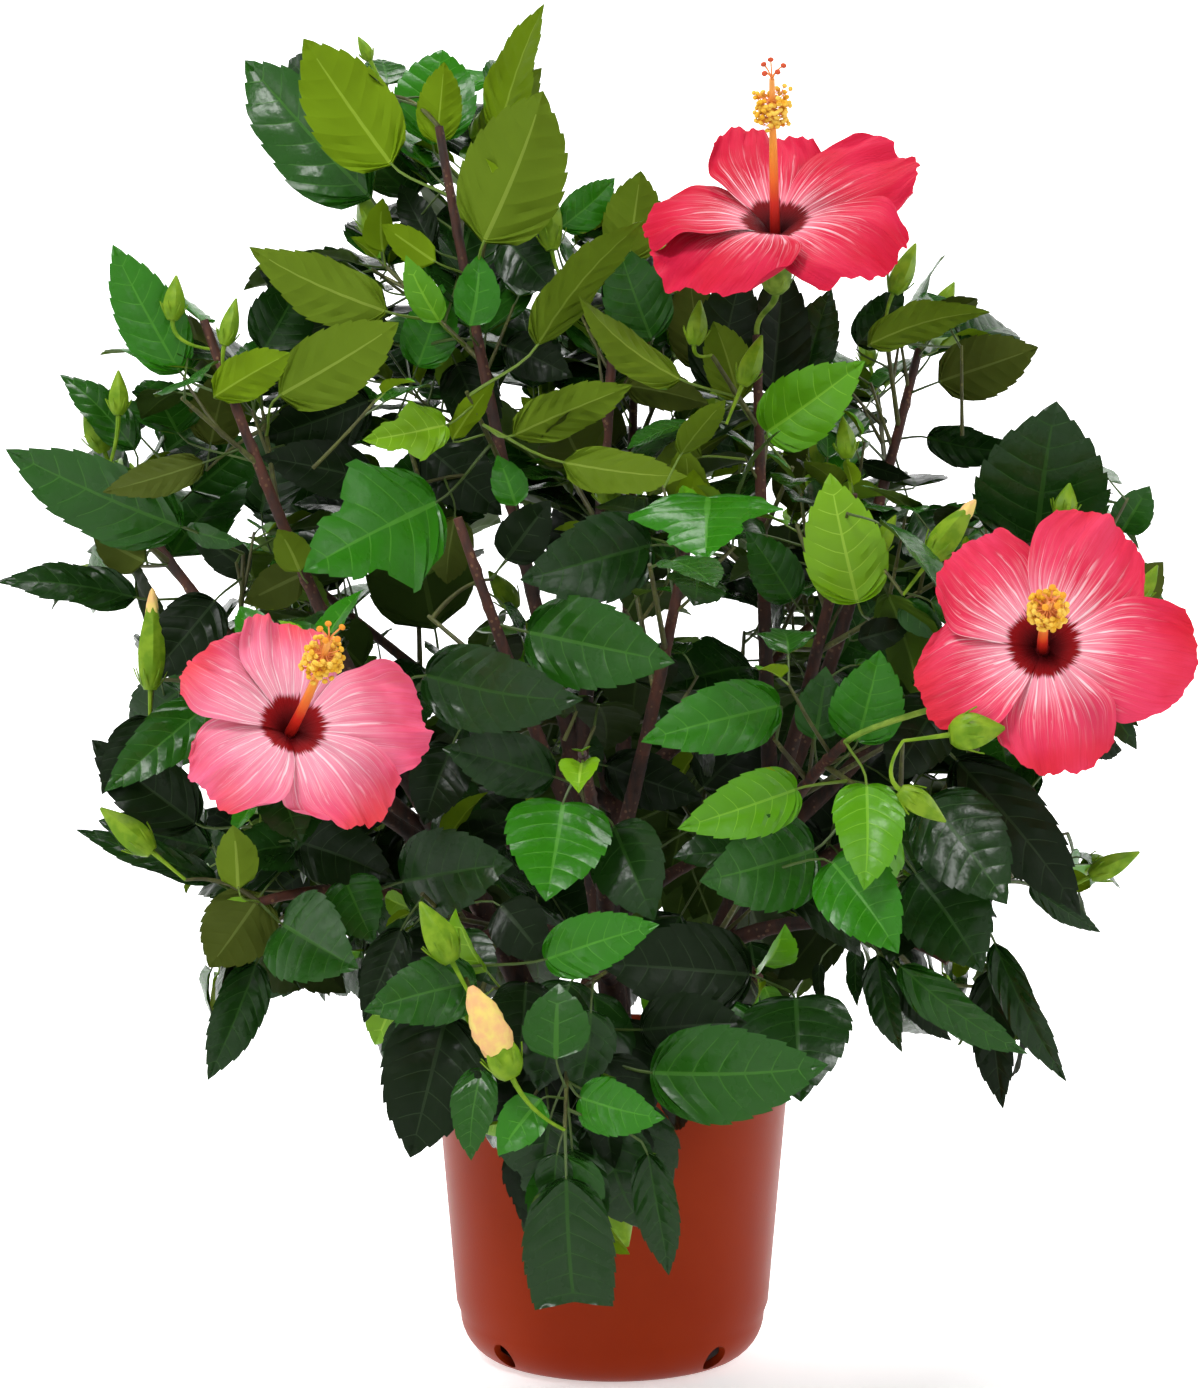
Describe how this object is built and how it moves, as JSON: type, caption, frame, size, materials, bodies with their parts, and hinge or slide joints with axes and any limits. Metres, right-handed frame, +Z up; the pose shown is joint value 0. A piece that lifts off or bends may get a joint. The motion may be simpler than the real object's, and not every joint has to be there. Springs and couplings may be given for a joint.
{
  "type": "hibiscus shrub in a round plastic pot",
  "caption": "Bushy flowering shrub with glossy toothed leaves, large five-petalled pink blooms and buds, in a round tapering plastic grower's pot.",
  "frame": {"origin": "centre of the pot's flat underside, at the level that the pot stands on", "axes": "+Z up, -Y towards the front of the shrub, +X to the right as seen from the front"},
  "size_m": [0.7535, 0.6499, 0.8635],
  "materials": {
    "pot_plastic": "smooth injection-moulded plastic, terracotta coloured, semi-gloss",
    "soil": "dark peat and bark growing mix",
    "bark": "brown-grey bark with raised pores and leaf scars",
    "foliage": "glossy leaf",
    "petals": "soft petal"
  },
  "bodies": {
    "root": {"pot": "pot_plastic", "soil": "soil", "stem_centre": "bark", "stem_left": "bark", "stem_right": "bark", "stem_front": "bark", "stem_back": "bark", "bough_leader": "bark", "bough_top_centre": "bark", "bough_top_right": "bark", "bough_right_high": "bark", "bough_right_middle": "bark", "bough_right_far": "bark", "bough_right_side": "bark", "bough_right_front": "bark", "bough_low_right": "bark", "bough_centre_right": "bark", "bough_centre_left": "bark", "bough_centre_low": "bark", "bough_front_low": "bark", "bough_front_low_left": "bark", "bough_front_low_right": "bark", "bough_low_left": "bark", "bough_left_front": "bark", "bough_left_high": "bark", "bough_left_far": "bark", "bough_left_back": "bark", "bough_back_high": "bark", "bough_right_back": "bark", "bough_back_left_low": "bark", "bough_back_middle": "bark", "bough_back_right_low": "bark", "mass_leader": "foliage", "mass_top_centre": "foliage", "mass_top_right": "foliage", "mass_right_high": "foliage", "mass_right_middle": "foliage", "mass_right_far": "foliage", "mass_right_side": "foliage", "mass_right_front": "foliage", "mass_low_right": "foliage", "mass_centre_right": "foliage", "mass_centre_left": "foliage", "mass_centre_low": "foliage", "mass_front_low": "foliage", "mass_front_low_left": "foliage", "mass_front_low_right": "foliage", "mass_low_left": "foliage", "mass_left_front": "foliage", "mass_left_high": "foliage", "mass_left_far": "foliage", "mass_left_back": "foliage", "mass_back_high": "foliage", "mass_right_back": "foliage", "mass_back_left_low": "foliage", "mass_back_middle": "foliage", "mass_back_right_low": "foliage", "bloom_left": "petals", "bloom_right": "petals", "bloom_top": "petals"}
  },
  "joints": []
}
